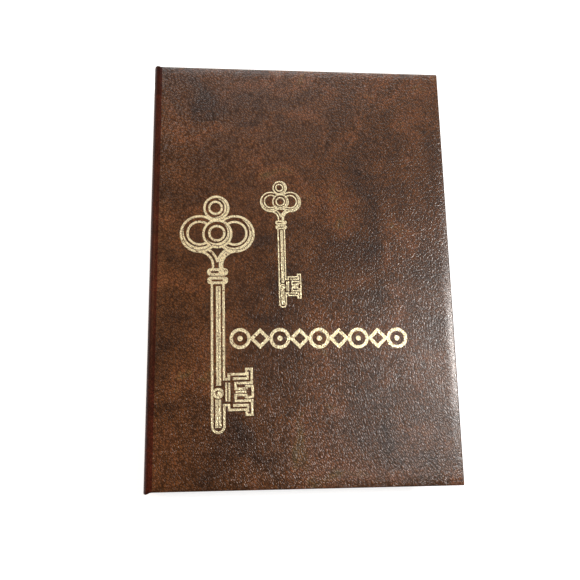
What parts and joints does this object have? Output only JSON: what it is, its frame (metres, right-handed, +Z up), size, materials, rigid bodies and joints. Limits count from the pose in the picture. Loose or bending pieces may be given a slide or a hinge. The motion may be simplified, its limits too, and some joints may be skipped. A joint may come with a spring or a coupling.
{
  "type": "address book",
  "caption": "Loose-leaf desk address book in brown leatherette with gold keys, a ring mechanism and a stepped A to Z index; covers, rings and leaves turn.",
  "frame": {"origin": "middle of the closed book's footprint, on the surface under the back cover", "axes": "+X from spine to fore edge, +Y from tail to head, +Z up through the closed book"},
  "size_m": [0.133, 0.189, 0.0251],
  "materials": {
    "leatherette": "satin",
    "greyboard": "matte",
    "lining_paper": "matte",
    "gold_foil": "satin",
    "nickel_steel": "polished",
    "index_card": "matte",
    "page_paper": "matte"
  },
  "bodies": {
    "back_cover": {"back_leatherette": "leatherette", "back_board": "greyboard", "back_lining": "lining_paper", "back_hinge_skin": "leatherette", "back_hinge_lining": "lining_paper"},
    "spine": {"spine_leatherette": "leatherette", "spine_board": "greyboard", "spine_lining": "lining_paper", "front_hinge_skin": "leatherette", "front_hinge_lining": "lining_paper", "ring_shield": "nickel_steel", "shield_rivets": "nickel_steel", "lever_pins": "nickel_steel"},
    "front_cover": {"front_leatherette": "leatherette", "front_board": "greyboard", "front_lining": "lining_paper", "large_key_foil": "gold_foil", "small_key_foil": "gold_foil", "band_foil": "gold_foil"},
    "front_rings": {"front_rail": "nickel_steel", "front_half_rings": "nickel_steel"},
    "back_rings": {"back_rail": "nickel_steel", "back_half_rings": "nickel_steel"},
    "head_lever": {"head_lever": "nickel_steel"},
    "tail_lever": {"tail_lever": "nickel_steel"},
    "leaves_a_d": {"index_ab": "index_card", "pages_ab": "page_paper", "index_cd": "index_card", "pages_cd": "page_paper"},
    "leaves_e_h": {"index_ef": "index_card", "pages_ef": "page_paper", "index_gh": "index_card", "pages_gh": "page_paper"},
    "leaves_i_l": {"index_ij": "index_card", "pages_ij": "page_paper", "index_kl": "index_card", "pages_kl": "page_paper"},
    "leaves_m_p": {"index_mn": "index_card", "pages_mn": "page_paper", "index_op": "index_card", "pages_op": "page_paper"},
    "leaves_q_t": {"index_qr": "index_card", "pages_qr": "page_paper", "index_st": "index_card", "pages_st": "page_paper"},
    "leaves_u_z": {"index_uv": "index_card", "pages_uv": "page_paper", "index_w": "index_card", "pages_w": "page_paper", "index_xyz": "index_card", "pages_xyz": "page_paper"}
  },
  "joints": [
    {"name": "spine_fold", "type": "hinge", "parent": "back_cover", "child": "spine", "pos_m": [-0.06586, 0, 0.00064], "axis": [0, -1, 0], "range_deg": [0, 90], "deforming": ["back_hinge_skin", "back_hinge_lining"]},
    {"name": "cover_fold", "type": "hinge", "parent": "spine", "child": "front_cover", "pos_m": [-0.06586, 0, 0.02436], "axis": [0, -1, 0], "range_deg": [0, 90], "deforming": ["front_hinge_skin", "front_hinge_lining"]},
    {"name": "head_lever_press", "type": "hinge", "parent": "spine", "child": "head_lever", "pos_m": [-0.06225, 0.08, 0.0125], "axis": [0, 0, 1], "range_deg": [0, 12]},
    {"name": "tail_lever_press", "type": "hinge", "parent": "spine", "child": "tail_lever", "pos_m": [-0.06225, -0.08, 0.0125], "axis": [0, 0, -1], "range_deg": [0, 12]},
    {"name": "front_rings_open", "type": "hinge", "parent": "spine", "child": "front_rings", "pos_m": [-0.06246, 0, 0.01845], "axis": [0, -1, 0], "range_deg": [0, 7]},
    {"name": "back_rings_open", "type": "hinge", "parent": "spine", "child": "back_rings", "pos_m": [-0.06246, 0, 0.00655], "axis": [0, 1, 0], "range_deg": [0, 7]},
    {"name": "leaves_a_d_turn", "type": "hinge", "parent": "spine", "child": "leaves_a_d", "pos_m": [-0.054, 0, 0.0125], "axis": [0, -1, 0], "range_deg": [0, 94.72]},
    {"name": "leaves_e_h_turn", "type": "hinge", "parent": "spine", "child": "leaves_e_h", "pos_m": [-0.054, 0, 0.0125], "axis": [0, -1, 0], "range_deg": [0, 91.72]},
    {"name": "leaves_i_l_turn", "type": "hinge", "parent": "spine", "child": "leaves_i_l", "pos_m": [-0.054, 0, 0.0125], "axis": [0, -1, 0], "range_deg": [0, 88.22]},
    {"name": "leaves_m_p_turn", "type": "hinge", "parent": "spine", "child": "leaves_m_p", "pos_m": [-0.054, 0, 0.0125], "axis": [0, -1, 0], "range_deg": [-83.6, 0]},
    {"name": "leaves_q_t_turn", "type": "hinge", "parent": "spine", "child": "leaves_q_t", "pos_m": [-0.054, 0, 0.0125], "axis": [0, -1, 0], "range_deg": [-86.9, 0]},
    {"name": "leaves_u_z_turn", "type": "hinge", "parent": "spine", "child": "leaves_u_z", "pos_m": [-0.054, 0, 0.0125], "axis": [0, -1, 0], "range_deg": [-90, 0]}
  ],
  "couplings": [
    {"joint": "tail_lever_press", "follows": "head_lever_press", "ratio": 1},
    {"joint": "front_rings_open", "follows": "head_lever_press", "ratio": 0.58333},
    {"joint": "back_rings_open", "follows": "head_lever_press", "ratio": 0.58333},
    {"joint": "leaves_a_d_turn", "follows": "cover_fold", "ratio": 1.0524},
    {"joint": "leaves_e_h_turn", "follows": "cover_fold", "ratio": 1.0191},
    {"joint": "leaves_i_l_turn", "follows": "cover_fold", "ratio": 0.98022},
    {"joint": "leaves_m_p_turn", "follows": "spine_fold", "ratio": -0.92889},
    {"joint": "leaves_q_t_turn", "follows": "spine_fold", "ratio": -0.96556},
    {"joint": "leaves_u_z_turn", "follows": "spine_fold", "ratio": -1}
  ]
}
